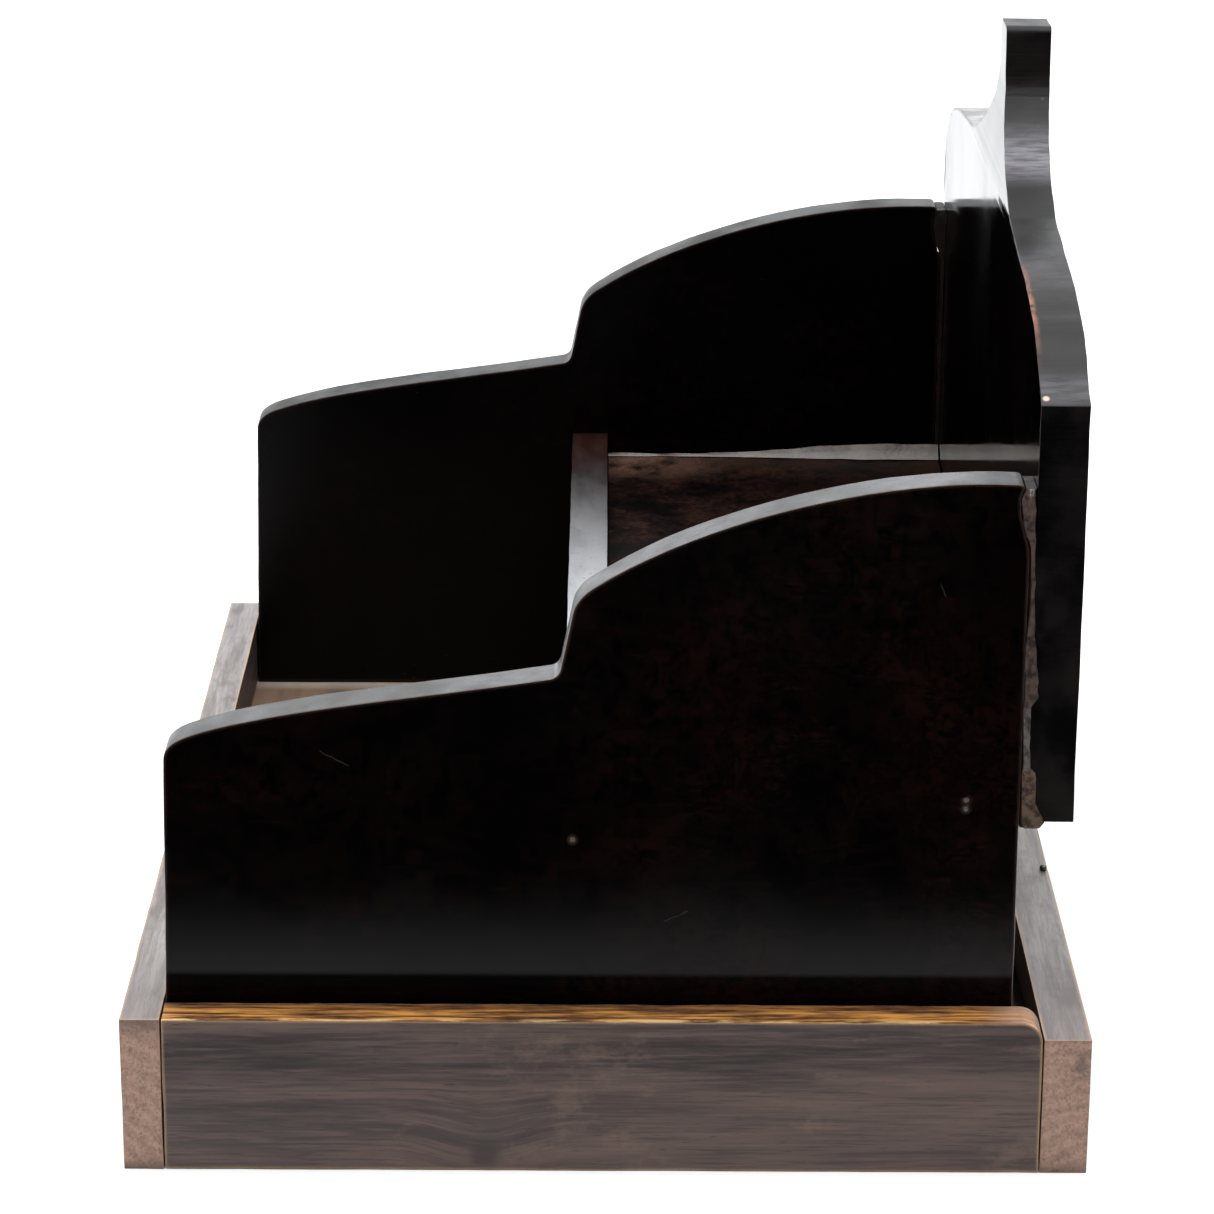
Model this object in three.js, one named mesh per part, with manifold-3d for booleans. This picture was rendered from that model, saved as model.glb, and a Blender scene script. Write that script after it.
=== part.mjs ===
// A small two-level desk rack of dark lacquered boards, standing in a shallow wooden tray.
// Millimetres, +Z up. The origin is the middle of the tray's footprint on the table;
// -Y is the low front of the rack, +Y is its tall back board.
import * as THREE from 'three';
import { mergeVertices } from 'three/addons/utils/BufferGeometryUtils.js';
import Module from 'manifold-3d';

const wasm = await Module();
wasm.setup();

// ---- Driving dimensions ----
const SLIP = 0.25;                // gap between boards that meet
const TRAY_W = 352;
const TRAY_D = 265;
const RAIL_H = 45;                // front and side rails
const BACK_RAIL_H = 40;
const FRONT_RAIL_T = 11;
const BACK_RAIL_T = 13;
const SIDE_RAIL_T = 11.75;
const RAIL_NOSE_R = 6;            // rounded top corner of the right rail's rear end
const FLOOR_TOP = 24;
const FLOOR_T = 6;
const GROOVE_DEPTH = 4;           // how far the floor runs into the rails

const RACK_W = 327.5;             // over the two side panels, 0.5 mm clear of each side rail
const PANEL_T = 12;
const DIVIDER_FRONT = -12;
const DIVIDER_T = 12;
const DIVIDER_TOP = 115;
const SHELF_TOP = 106.75;
const SHELF_T = 12;
const BOARD_FRONT = 113;          // front face of the back board
const BOARD_T = 13.25;
const BOARD_BOTTOM = 99;
const BOARD_SHOULDER = 216;       // where the straight sides end
const BOARD_TOP = 286;
const CREST_HALF_W = 8.5;
const CREST_ROUND = 3;            // round at the crest's corners
const BEND = 2.6;                   // how far the board's top has warped back
const BEND_START = 238;
const BEND_END = 272;
const BEND_STEPS = 8;
const PANEL_CREST = 194.5;        // top of the side panels

const BRAD_R = 0.6;
const BRAD_HEAD_R = 0.75;
const BRAD_HEAD_T = 1;
const BRAD_L = 32;
const BRAD_SINK = 1.5;            // how deep a filled brad's head lies
const BRAD_HOLE_R = 0.95;
const PLUG_R = 0.8;
const PLUG_T = 1.25;
const PROUD_HEAD_R = 1.1;
const PROUD_HEAD_H = 1.75;        // how far the misdriven brad stands out of the back rail
const TRAY_BRAD_Z = [12, 33];     // one under the floor and one above it
const SIDE_BRADS = [[-9.25, 93.25], [97, 105.25], [97, 102.75]]; // (y, z): divider, shelf
const BOARD_BRAD_Z = [115, 150, 185];

const SEAM_BOTTOM = 97.2;
const SEAM_LUMP_BACK = 117.5;
const BEAD_FRONT = 1.5;           // legs of the glue fillets on the shelf
const BEAD_BACK = 5.5;
const ROUND_STEPS = 12;
const CURVE_STEPS = 20;

const FRONT = -TRAY_D / 2;
const BACK = TRAY_D / 2;
const RAIL_IN = TRAY_W / 2 - SIDE_RAIL_T;
const PANEL_OUT = RACK_W / 2;
const PANEL_IN = PANEL_OUT - PANEL_T;
const FRONT_RAIL_IN = FRONT + FRONT_RAIL_T;
const BACK_RAIL_IN = BACK - BACK_RAIL_T;
const FOOT = FLOOR_TOP + SLIP;
const BOARD_BACK = BOARD_FRONT + BOARD_T;
const DIVIDER_BACK = DIVIDER_FRONT + DIVIDER_T;

// ---- Finishes ----
const finish = (color, roughness, metalness = 0) =>
  new THREE.MeshStandardMaterial({ color, roughness, metalness });
const LACQUER = finish(0x1a100d, 0.25);
const WALNUT = finish(0x5a4334, 0.6);
const FLOOR_WOOD = finish(0x8d7355, 0.65);
const STEEL = finish(0x55524e, 0.5, 0.8);
const PUTTY = finish(0x9c8a78, 0.8);
const GLUE = finish(0x7d6c5c, 0.6);

// ---- Cutting ----
function toSolid(geometry) {
  const bare = geometry.clone();
  bare.deleteAttribute('normal');
  bare.deleteAttribute('uv');
  const merged = mergeVertices(bare, 1e-4);
  return new wasm.Manifold(new wasm.Mesh({
    numProp: 3,
    vertProperties: new Float32Array(merged.attributes.position.array),
    triVerts: new Uint32Array(merged.index.array),
  }));
}

function toGeometry(solid) {
  const mesh = solid.getMesh();
  const geometry = new THREE.BufferGeometry();
  geometry.setAttribute('position', new THREE.BufferAttribute(mesh.vertProperties, 3));
  geometry.setIndex(new THREE.BufferAttribute(mesh.triVerts, 1));
  return geometry;
}

function cut(geometry, cutters) {
  let solid = toSolid(geometry);
  for (const cutter of cutters) solid = solid.subtract(toSolid(cutter));
  return toGeometry(solid);
}

// ---- Shapes ----
function block(x0, x1, y0, y1, z0, z1) {
  const geometry = new THREE.BoxGeometry(x1 - x0, y1 - y0, z1 - z0);
  return geometry.translate((x0 + x1) / 2, (y0 + y1) / 2, (z0 + z1) / 2);
}

// An outline drawn as (y, z), given its thickness along +X from x0.
function slabAlongX(shape, x0, thickness) {
  const geometry = new THREE.ExtrudeGeometry(shape, {
    depth: thickness, bevelEnabled: false, curveSegments: CURVE_STEPS,
  });
  const turn = new THREE.Matrix4().set(0, 0, 1, x0, 1, 0, 0, 0, 0, 1, 0, 0, 0, 0, 0, 1);
  return geometry.applyMatrix4(turn);
}

// An outline drawn as (x, z), given its thickness towards +Y from y0.
function slabAlongY(shape, y0, thickness) {
  const geometry = new THREE.ExtrudeGeometry(shape, {
    depth: thickness, bevelEnabled: false, curveSegments: CURVE_STEPS,
  });
  return geometry.rotateX(Math.PI / 2).translate(0, y0 + thickness, 0);
}

// A round piece turned about its own axis, which then points along `direction` from `start`.
function turned(profile, start, direction) {
  const points = profile.map(([r, along]) => new THREE.Vector2(r, along));
  const geometry = new THREE.LatheGeometry(points, ROUND_STEPS);
  const aim = new THREE.Quaternion().setFromUnitVectors(new THREE.Vector3(0, 1, 0), direction);
  return geometry.applyQuaternion(aim).translate(start.x, start.y, start.z);
}

const rod = (radius, from, to, start, direction) =>
  turned([[0, from], [radius, from], [radius, to], [0, to]], start, direction);

// ---- The object, as two groups: the tray and the rack that lifts out of it ----
const object = new THREE.Group();
const tray = new THREE.Group();
const rack = new THREE.Group();
object.add(tray, rack);

function add(group, name, geometry, material) {
  const mesh = new THREE.Mesh(geometry, material);
  mesh.name = name;
  group.add(mesh);
}

// ---- Brads ----
const bradShape = (sink) => [
  [0, sink], [BRAD_HEAD_R, sink], [BRAD_HEAD_R, sink + BRAD_HEAD_T],
  [BRAD_R, sink + BRAD_HEAD_T], [BRAD_R, BRAD_L - 2], [0, BRAD_L],
];
// The hole that a brad fills runs a little past its point and out of the face it enters.
const bradHole = (at, into) => rod(BRAD_HOLE_R, -1, BRAD_L + 0.5, at, into);

function addBrads(group, name, places, into, filled) {
  places.forEach((at, i) => {
    const sink = filled ? BRAD_SINK : 0;
    add(group, `${name}_${i + 1}`, turned(bradShape(sink), at, into), STEEL);
    if (filled) add(group, `${name}_filler_${i + 1}`, rod(PLUG_R, 0, PLUG_T, at, into), PUTTY);
  });
  return places.map((at) => bradHole(at, into));
}

const AXIS_X = new THREE.Vector3(1, 0, 0);
const AXIS_Y = new THREE.Vector3(0, 1, 0);
const AXIS_Z = new THREE.Vector3(0, 0, 1);
const RIGHT = { name: 'right', sign: 1 };
const LEFT = { name: 'left', sign: -1 };

// ---- Tray ----
const PROUD_BRAD = new THREE.Vector3(55, BACK - PROUD_HEAD_R - 0.4, BACK_RAIL_H + PROUD_HEAD_H);
const trayHoles = [];
for (const side of [LEFT, RIGHT]) {
  const x = side.sign * (TRAY_W / 2 - SIDE_RAIL_T / 2);
  const frontPlaces = TRAY_BRAD_Z.map((z) => new THREE.Vector3(x, FRONT, z));
  const backPlaces = TRAY_BRAD_Z.map((z) => new THREE.Vector3(x, BACK, z));
  const into = AXIS_Y.clone();
  const out = AXIS_Y.clone().negate();
  trayHoles.push(...addBrads(tray, `tray_front_${side.name}_brad`, frontPlaces, into, false));
  trayHoles.push(...addBrads(tray, `tray_back_${side.name}_brad`, backPlaces, out, false));
}

function addTray() {
  const half = TRAY_W / 2;
  const floorX = RAIL_IN + GROOVE_DEPTH;
  const floorFront = FRONT_RAIL_IN - GROOVE_DEPTH;
  const floorBack = BACK_RAIL_IN + GROOVE_DEPTH;
  const under = FLOOR_TOP - FLOOR_T;
  const groove = block(-floorX - SLIP, floorX + SLIP, floorFront - SLIP, floorBack + SLIP,
    under - SLIP, FLOOR_TOP + SLIP);

  const frontRail = block(-half, half, FRONT, FRONT_RAIL_IN, 0, RAIL_H);
  add(tray, 'tray_front_rail', cut(frontRail, [groove, ...trayHoles]), WALNUT);

  const proudHole = rod(BRAD_HOLE_R, 0, 22, PROUD_BRAD, AXIS_Z.clone().negate());
  const backRail = block(-half, half, BACK_RAIL_IN, BACK, 0, BACK_RAIL_H);
  add(tray, 'tray_back_rail', cut(backRail, [groove, proudHole, ...trayHoles]), WALNUT);

  const y0 = FRONT_RAIL_IN + SLIP;
  const y1 = BACK_RAIL_IN - SLIP;
  const leftRail = block(-half, -RAIL_IN, y0, y1, 0, RAIL_H);
  add(tray, 'tray_left_rail', cut(leftRail, [groove, ...trayHoles]), WALNUT);

  const outline = new THREE.Shape();
  outline.moveTo(y0, 0);
  outline.lineTo(y1, 0);
  outline.lineTo(y1, RAIL_H - RAIL_NOSE_R);
  outline.absarc(y1 - RAIL_NOSE_R, RAIL_H - RAIL_NOSE_R, RAIL_NOSE_R, 0, Math.PI / 2, false);
  outline.lineTo(y0, RAIL_H);
  const rightRail = slabAlongX(outline, RAIL_IN, SIDE_RAIL_T);
  add(tray, 'tray_right_rail', cut(rightRail, [groove, ...trayHoles]), WALNUT);

  add(tray, 'tray_floor', block(-floorX, floorX, floorFront, floorBack, under, FLOOR_TOP),
    FLOOR_WOOD);

  const proudShape = [
    [0, 0], [PROUD_HEAD_R * 0.7, 0.2], [PROUD_HEAD_R, 0.6], [PROUD_HEAD_R, 1.5],
    [BRAD_R, 1.5], [BRAD_R, 18], [0, 20],
  ];
  add(tray, 'back_rail_proud_brad', turned(proudShape, PROUD_BRAD, AXIS_Z.clone().negate()),
    STEEL);
}
addTray();

// ---- Rack ----
// The rear edge of a side panel stands a glue line clear of the back board. Its top
// corner is broken away into a hollow, which the glue fills.
const REAR_EDGE = 111.6;
const REAR_HOLLOW = [
  new THREE.Vector2(REAR_EDGE, 176),
  new THREE.Vector2(109, 186),
  new THREE.Vector2(108.8, 190.5),
  new THREE.Vector2(109.8, 193.2),
];

function panelOutline() {
  const outline = new THREE.Shape();
  outline.moveTo(FRONT_RAIL_IN + SLIP, FOOT);
  outline.lineTo(REAR_EDGE, FOOT);
  for (const point of REAR_HOLLOW) outline.lineTo(point.x, point.y);
  outline.quadraticCurveTo(109.8, PANEL_CREST, 107.5, PANEL_CREST);
  outline.bezierCurveTo(74.6, 196.2, 26, 185.2, -4, 165);     // the rear arch
  outline.quadraticCurveTo(-8.5, 162, -9.5, 157.5);           // its blunt front tip
  outline.lineTo(-12.5, 142.5);                               // the riser
  outline.quadraticCurveTo(-13, 139.9, -15.5, 139.5);
  outline.bezierCurveTo(-48, 134.3, -92, 130.1, -112, 122.9); // the front arch
  outline.quadraticCurveTo(-119.4, 120.5, -119.6, 116);       // the rounded front corner
  return outline;
}

function backBoardOutline() {
  const half = new THREE.Path();
  half.moveTo(PANEL_OUT, BOARD_SHOULDER);
  half.bezierCurveTo(152, 223.5, 143, 231.2, 131, 232.4);      // the shoulder
  half.bezierCurveTo(114, 237, 84, 238.4, 62, 241.6);          // the long shallow run
  half.bezierCurveTo(40, 248.5, 11, 257, CREST_HALF_W + 0.5, 273); // the sweep up to the crest
  half.lineTo(CREST_HALF_W, BOARD_TOP - CREST_ROUND);
  half.quadraticCurveTo(CREST_HALF_W, BOARD_TOP, CREST_HALF_W - CREST_ROUND, BOARD_TOP);
  const right = half.getPoints(CURVE_STEPS);
  const left = right.map((p) => new THREE.Vector2(-p.x, p.y)).reverse();
  return new THREE.Shape([
    new THREE.Vector2(-PANEL_OUT, BOARD_BOTTOM),
    new THREE.Vector2(PANEL_OUT, BOARD_BOTTOM),
    ...right,
    ...left,
  ]);
}

// The board's section, drawn as (y, z): flat up to the shoulders, its top warped back.
function backBoardSection() {
  const front = [new THREE.Vector2(BOARD_FRONT, BOARD_BOTTOM)];
  for (let i = 0; i <= BEND_STEPS; i += 1) {
    const share = i / BEND_STEPS;
    const z = BEND_START + (BEND_END - BEND_START) * share;
    const back = BEND * THREE.MathUtils.smoothstep(share, 0, 1);
    front.push(new THREE.Vector2(BOARD_FRONT + back, z));
  }
  front.push(new THREE.Vector2(BOARD_FRONT + BEND, BOARD_TOP + 1));
  const rear = front.map((p) => new THREE.Vector2(p.x + BOARD_T, p.y)).reverse();
  return new THREE.Shape([...front, ...rear]);
}

function backBoard() {
  const bent = toSolid(slabAlongX(backBoardSection(), -PANEL_OUT - 1, RACK_W + 2));
  const outline = slabAlongY(backBoardOutline(), BOARD_FRONT - 1, BOARD_T + BEND + 2);
  return toGeometry(bent.intersect(toSolid(outline)));
}

// The glue between a side panel and the back board, with the hollow that it fills and the
// lump that ran out under the board's bottom edge.
function seamOutline() {
  const outline = new THREE.Shape();
  outline.moveTo(REAR_EDGE + SLIP, SEAM_BOTTOM);
  outline.lineTo(SEAM_LUMP_BACK, SEAM_BOTTOM);
  outline.lineTo(SEAM_LUMP_BACK, BOARD_BOTTOM - SLIP);
  outline.lineTo(BOARD_FRONT - SLIP, BOARD_BOTTOM - SLIP);
  outline.lineTo(BOARD_FRONT - SLIP, REAR_HOLLOW[3].y);
  for (const point of REAR_HOLLOW.toReversed()) outline.lineTo(point.x + SLIP, point.y);
  return outline;
}

// A glue fillet in the corner of the shelf and a side panel, thicker towards the back.
function shelfBead(sign) {
  const corner = new THREE.Vector2(sign * (PANEL_IN - SLIP), SHELF_TOP + SLIP);
  const section = new THREE.Shape([
    corner,
    new THREE.Vector2(corner.x, corner.y + BEAD_BACK),
    new THREE.Vector2(corner.x - sign * BEAD_BACK, corner.y),
  ]);
  const y0 = DIVIDER_BACK + SLIP;
  const y1 = BOARD_FRONT - SLIP;
  const geometry = slabAlongY(section, y0, y1 - y0);
  const spots = geometry.attributes.position;
  for (let i = 0; i < spots.count; i += 1) {
    const scale = spots.getY(i) < (y0 + y1) / 2 ? BEAD_FRONT / BEAD_BACK : 1;
    spots.setX(i, corner.x + (spots.getX(i) - corner.x) * scale);
    spots.setZ(i, corner.y + (spots.getZ(i) - corner.y) * scale);
  }
  return geometry;
}

function addRack() {
  const sideHoles = [];
  const boardHoles = [];
  for (const { name, sign } of [LEFT, RIGHT]) {
    const inward = AXIS_X.clone().multiplyScalar(-sign);
    const sidePlaces = SIDE_BRADS.map(([y, z]) => new THREE.Vector3(sign * PANEL_OUT, y, z));
    sideHoles.push(...addBrads(rack, `${name}_panel_brad`, sidePlaces, inward, true));

    const x = sign * (PANEL_OUT - PANEL_T / 2);
    const boardPlaces = BOARD_BRAD_Z.map((z) => new THREE.Vector3(x, BOARD_BACK, z));
    const forward = AXIS_Y.clone().negate();
    boardHoles.push(...addBrads(rack, `back_board_${name}_brad`, boardPlaces, forward, true));
  }
  const holes = [...sideHoles, ...boardHoles];

  for (const { name, sign } of [LEFT, RIGHT]) {
    const x0 = sign > 0 ? PANEL_IN : -PANEL_OUT;
    const panel = slabAlongX(panelOutline(), x0, PANEL_T);
    add(rack, `${name}_side_panel`, cut(panel, holes), LACQUER);
    const seam = slabAlongX(seamOutline(), x0, PANEL_T);
    add(rack, `${name}_back_seam_glue`, cut(seam, boardHoles), GLUE);
    add(rack, `${name}_shelf_glue_bead`, shelfBead(sign), GLUE);
  }

  const between = PANEL_IN - SLIP;
  const divider = block(-between, between, DIVIDER_FRONT, DIVIDER_BACK, FOOT, DIVIDER_TOP);
  add(rack, 'step_divider', cut(divider, sideHoles), LACQUER);
  const shelf = block(-between, between, DIVIDER_BACK + SLIP, BOARD_FRONT - SLIP,
    SHELF_TOP - SHELF_T, SHELF_TOP);
  add(rack, 'rear_shelf', cut(shelf, sideHoles), LACQUER);
  add(rack, 'back_board', cut(backBoard(), boardHoles), LACQUER);
}
addRack();

export default object;
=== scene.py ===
"""A lacquered desk rack in its walnut tray: finished boards, dried glue, fillers and brads."""

import math

import bmesh
import bpy
from mathutils import Euler, Matrix, Vector, noise


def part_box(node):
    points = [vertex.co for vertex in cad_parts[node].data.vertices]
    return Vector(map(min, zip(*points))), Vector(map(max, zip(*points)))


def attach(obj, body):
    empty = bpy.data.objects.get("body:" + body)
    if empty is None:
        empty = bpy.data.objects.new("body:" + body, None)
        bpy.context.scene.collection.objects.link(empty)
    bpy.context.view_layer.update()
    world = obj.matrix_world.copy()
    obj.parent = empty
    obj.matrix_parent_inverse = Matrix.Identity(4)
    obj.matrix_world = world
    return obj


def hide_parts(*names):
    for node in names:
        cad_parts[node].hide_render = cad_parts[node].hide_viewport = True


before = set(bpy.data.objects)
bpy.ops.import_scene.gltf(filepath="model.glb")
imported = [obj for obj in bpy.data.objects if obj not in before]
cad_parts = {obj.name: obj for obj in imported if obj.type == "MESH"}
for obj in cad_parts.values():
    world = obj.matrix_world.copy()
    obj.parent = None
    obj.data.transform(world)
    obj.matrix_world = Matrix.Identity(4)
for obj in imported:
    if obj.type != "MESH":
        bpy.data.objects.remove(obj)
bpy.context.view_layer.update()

bl_info = {
    "name": "Desk rack in a tray",
    "version": (1, 0, 0),
    "blender": (4, 5, 0),
    "location": "3D View > Sidebar > Desk rack",
    "description": "Finishes the boards, glue, brads and stage of a small desk rack",
    "category": "Object",
}

MM = 0.001
SIDES = {"left": -1, "right": 1}
X, Y = 0, 1

# What counts as a sharp edge, as a flat joint, as one point and as the rim of a brad's hole.
SHARP_EDGE = math.radians(35)
SHARP_SHADING = math.radians(50)
BRAD_RIM = math.radians(40)
NEARLY_FLAT = math.radians(0.4)
SAME_POINT = 0.01 * MM
HOLE_REACH = 1.7 * MM

# The y and z of each cup ring's centre, in millimetres.
CUP_RINGS = ((17.7, 66.9), (-79.2, 70.3))
# Each scratch is its y and z, its turn in radians and half its length, lengths in millimetres.
SCRATCHES = ((-73.5, 116.5, 0.5, 4.5), (19, 71, -0.45, 3.5), (89, 165, 1.2, 2.0))

# How far the squeezed-out glue reaches, as (height, front, back) in millimetres.
SQUEEZE = (
    (97, 113, 117), (98, 112, 118.4), (100, 111.7, 118.4), (104, 111.8, 116.1),
    (113, 111.5, 115.8), (115, 112, 114), (132, 111.3, 113.6), (135, 111.6, 115.7),
    (146, 111.3, 114.8), (152, 111.5, 114), (162, 112.3, 113.5), (177, 111.8, 113.1),
    (180, 110.4, 113.1), (184, 109.4, 113), (190, 108.7, 112.9), (193, 109.9, 112.6),
    (196, 110.8, 111.8),
)


# ---------------------------------------------------------------- settings


def length(name, description, default):
    return bpy.props.FloatProperty(
        name=name, description=description, default=default, min=0.0, unit="LENGTH", precision=5
    )


def colour(name, description, default):
    return bpy.props.FloatVectorProperty(
        name=name, description=description, default=default, size=3, min=0.0, max=1.0,
        subtype="COLOR",
    )


def amount(name, description, default, high=1.0):
    return bpy.props.FloatProperty(
        name=name, description=description, default=default, min=0.0, max=high
    )


class RackSizes(bpy.types.PropertyGroup):
    arris: length("Arris", "Width of the eased edge on the rack's boards", 0.9 * MM)
    rail_arris: length("Rail arris", "Width of the eased edge on the tray's rails", 0.35 * MM)
    step: length("Step", "Distance between points along an eased edge", 7 * MM)
    wobble: length("Wobble", "How far hand sanding has moved an edge", 0.22 * MM)
    seam_swell: length("Seam swell", "How far the seam glue swells and sinks", 0.3 * MM)
    warp: length("Warp", "How far the back board's top has warped back", 2.6 * MM)


class RackColours(bpy.types.PropertyGroup):
    lacquer: colour("Lacquer", "Black-brown lacquer", (0.0005, 0.0004, 0.0005))
    mottle: colour("Mottle", "Red-brown stain that shows through", (0.0055, 0.0016, 0.0012))
    bare: colour("Bare wood", "Wood where the lacquer is rubbed off", (0.16, 0.062, 0.03))
    walnut: colour("Walnut", "Grey-brown stain on the rails", (0.068, 0.044, 0.039))
    walnut_dark: colour("Dark walnut", "Dark streaks in the rails", (0.021, 0.014, 0.013))
    honey: colour("Honey", "Worn golden streaks on the rails' tops", (0.6, 0.27, 0.06))
    end_grain: colour("End grain", "Pale end grain of the rails", (0.34, 0.21, 0.155))
    floor_wood: colour("Floor wood", "Light brown floor of the tray", (0.16, 0.1, 0.065))
    glue: colour("Glue", "Dried brown-grey glue", (0.062, 0.04, 0.032))
    bead: colour("Bead", "Pale glue along the shelf", (0.16, 0.125, 0.1))
    putty: colour("Putty", "Filler over the brads", (0.095, 0.075, 0.06))
    steel: colour("Steel", "Darkened brad steel", (0.09, 0.085, 0.08))


# Small marks and stains, and some painted highlights, reflections and shade, which the colours above leave
# alone.
TINTS = {
    "lacquer dust": (0.03, 0.016, 0.012),
    "red under lacquer": (0.0062, 0.0022, 0.0016),
    "black": (0.0, 0.0, 0.0),
    "scratch": (0.06, 0.05, 0.048),
    "scuffed lacquer": (0.014, 0.008, 0.007),
    "edge painted sheen": (0.3, 0.3, 0.33),
    "edge dust": (0.06, 0.045, 0.04),
    "brown lacquer": (0.006, 0.0032, 0.003),
    "board painted highlight": (0.33, 0.32, 0.36),
    "orange arris": (0.3, 0.11, 0.06),
    "fresh chip": (0.62, 0.42, 0.34),
    "board dust": (0.07, 0.06, 0.06),
    "divider black": (0.012, 0.009, 0.009),
    "divider red": (0.014, 0.004, 0.003),
    "divider painted highlight": (0.8, 0.82, 0.86),
    "divider dust": (0.02, 0.012, 0.01),
    "shelf black": (0.0008, 0.0006, 0.0006),
    "shelf red": (0.018, 0.0058, 0.0033),
    "glue smear": (0.1, 0.055, 0.038),
    "walnut band": (0.15, 0.088, 0.066),
    "walnut stain": (0.036, 0.029, 0.035),
    "walnut line": (0.022, 0.014, 0.014),
    "pale line": (0.14, 0.088, 0.068),
    "rubbed walnut": (0.19, 0.112, 0.078),
    "knot": (0.02, 0.011, 0.01),
    "walnut pore": (0.012, 0.007, 0.006),
    "gold arris": (0.46, 0.29, 0.15),
    "rail top brown": (0.07, 0.05, 0.043),
    "rail top painted reflection": (0.27, 0.245, 0.24),
    "rail top blotch": (0.05, 0.034, 0.029),
    "rail top end": (0.1, 0.072, 0.068),
    "rail top pore": (0.03, 0.02, 0.017),
    "side top dark": (0.035, 0.014, 0.008),
    "side top brown": (0.13, 0.055, 0.022),
    "bright gold": (0.62, 0.42, 0.2),
    "side top pale lit end": (0.3, 0.18, 0.12),
    "growth ring": (0.15, 0.085, 0.06),
    "end fibre": (0.1, 0.062, 0.05),
    "end stain": (0.07, 0.045, 0.038),
    "end edge darkening": (0.07, 0.045, 0.04),
    "floor brown": (0.11, 0.07, 0.05),
    "floor dust": (0.28, 0.22, 0.17),
    "foot streak": (0.42, 0.38, 0.33),
    "grey glue": (0.09, 0.078, 0.074),
    "tan glue": (0.085, 0.052, 0.033),
    "glue tip": (0.5, 0.44, 0.43),
    "glue shadow": (0.01, 0.006, 0.005),
    "glue grain": (0.012, 0.008, 0.007),
    "glue recess shade": (0.008, 0.005, 0.004),
    "rust": (0.05, 0.025, 0.015),
    "bead shade": (0.05, 0.032, 0.024),
    "filler shade": (0.05, 0.035, 0.028),
}


class StageSettings(bpy.types.PropertyGroup):
    distance: length("Distance", "Camera distance in front of the right side", 1.2075)
    height: length("Height", "Camera height above the table", 0.5165)
    lens: amount("Lens", "Camera lens in millimetres", 123.1, 300.0)
    floor: length("Floor", "Width of the pale floor", 24.0)
    sky: amount("Sky", "Strength of the white surround", 1.9, 10.0)
    lamp: amount("Lamp", "Power of the soft overhead lamp in watts", 30.0, 500.0)
    flag: length("Flag", "Where the black card starts in front of the right side", 0.215)
    dim_side: amount("Dim side", "Share of the sky's light that the right side gets", 0.06)


def settings():
    scene = bpy.context.scene
    return scene.rack_sizes, scene.rack_colours, scene.rack_stage


# ---------------------------------------------------------------- nodes


def node(tree, kind, inputs=None, **choices):
    """Adds a node. Each input is a value or another node's output socket."""
    made = tree.nodes.new(kind)
    for name, value in choices.items():
        setattr(made, name, value)
    for name, value in (inputs or {}).items():
        if isinstance(value, bpy.types.NodeSocket):
            tree.links.new(value, made.inputs[name])
        else:
            made.inputs[name].default_value = value
    return made


def maths(tree, operation, a, b=0.0):
    return node(tree, "ShaderNodeMath", {0: a, 1: b}, operation=operation).outputs[0]


def times(tree, a, b):
    return maths(tree, "MULTIPLY", a, b)


def plus(tree, a, b):
    return maths(tree, "ADD", a, b)


def minus(tree, a, b):
    return maths(tree, "SUBTRACT", a, b)


def vector_maths(tree, operation, a, b=(0, 0, 0)):
    made = node(tree, "ShaderNodeVectorMath", {0: a, 1: b}, operation=operation)
    return made.outputs["Value" if operation in ("LENGTH", "DOT_PRODUCT") else "Vector"]


def remap(tree, value, low, high, to_low=0.0, to_high=1.0):
    """Spreads low..high over to_low..to_high, smoothly and clamped."""
    inputs = {"Value": value, 1: low, 2: high, 3: to_low, 4: to_high}
    return node(tree, "ShaderNodeMapRange", inputs, interpolation_type="SMOOTHSTEP").outputs[0]


def blend_colours(tree, share, a, b):
    """Colour a where the share is 0, and colour b where it is 1."""
    inputs = {0: share, 6: padded_colour(a), 7: padded_colour(b)}
    return node(tree, "ShaderNodeMix", inputs, data_type="RGBA").outputs[2]


def tint(tree, base, colour, mask, strength):
    """Lays a colour over the base, at that strength where the mask is 1."""
    return blend_colours(tree, times(tree, mask, strength), base, colour)


def padded_colour(value):
    if isinstance(value, bpy.types.NodeSocket):
        return value
    return (*value, 1.0) if len(value) == 3 else tuple(value)


def hump(tree, value, middle, spread):
    """1 at the middle, falling smoothly to 0 at the spread on either side."""
    off = maths(tree, "ABSOLUTE", minus(tree, value, middle))
    return remap(tree, off, 0.0, spread, 1.0, 0.0)


def clouds(tree, vector, scale, detail=4.0, roughness=0.5, distortion=0.0):
    inputs = {
        "Vector": vector, "Scale": scale, "Detail": detail, "Roughness": roughness,
        "Distortion": distortion,
    }
    return node(tree, "ShaderNodeTexNoise", inputs).outputs["Fac"]


def stretched(tree, vector, scale=(1, 1, 1), location=(0, 0, 0), rotation=(0, 0, 0)):
    inputs = {"Vector": vector, "Scale": scale, "Location": location, "Rotation": rotation}
    return node(tree, "ShaderNodeMapping", inputs).outputs[0]


def axes(tree, vector):
    """The vector's x, y and z."""
    return node(tree, "ShaderNodeSeparateXYZ", {0: vector}).outputs


def new_group(name, inputs, outputs):
    """A shader node group. inputs are (name, socket type, default), outputs (name, type)."""
    tree = bpy.data.node_groups.new(name, "ShaderNodeTree")
    for label, kind, default in inputs:
        socket = tree.interface.new_socket(label, in_out="INPUT", socket_type=kind)
        if default is not None:
            socket.default_value = default
    for label, kind in outputs:
        tree.interface.new_socket(label, in_out="OUTPUT", socket_type=kind)
    return tree, tree.nodes.new("NodeGroupInput").outputs, tree.nodes.new("NodeGroupOutput")


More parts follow.
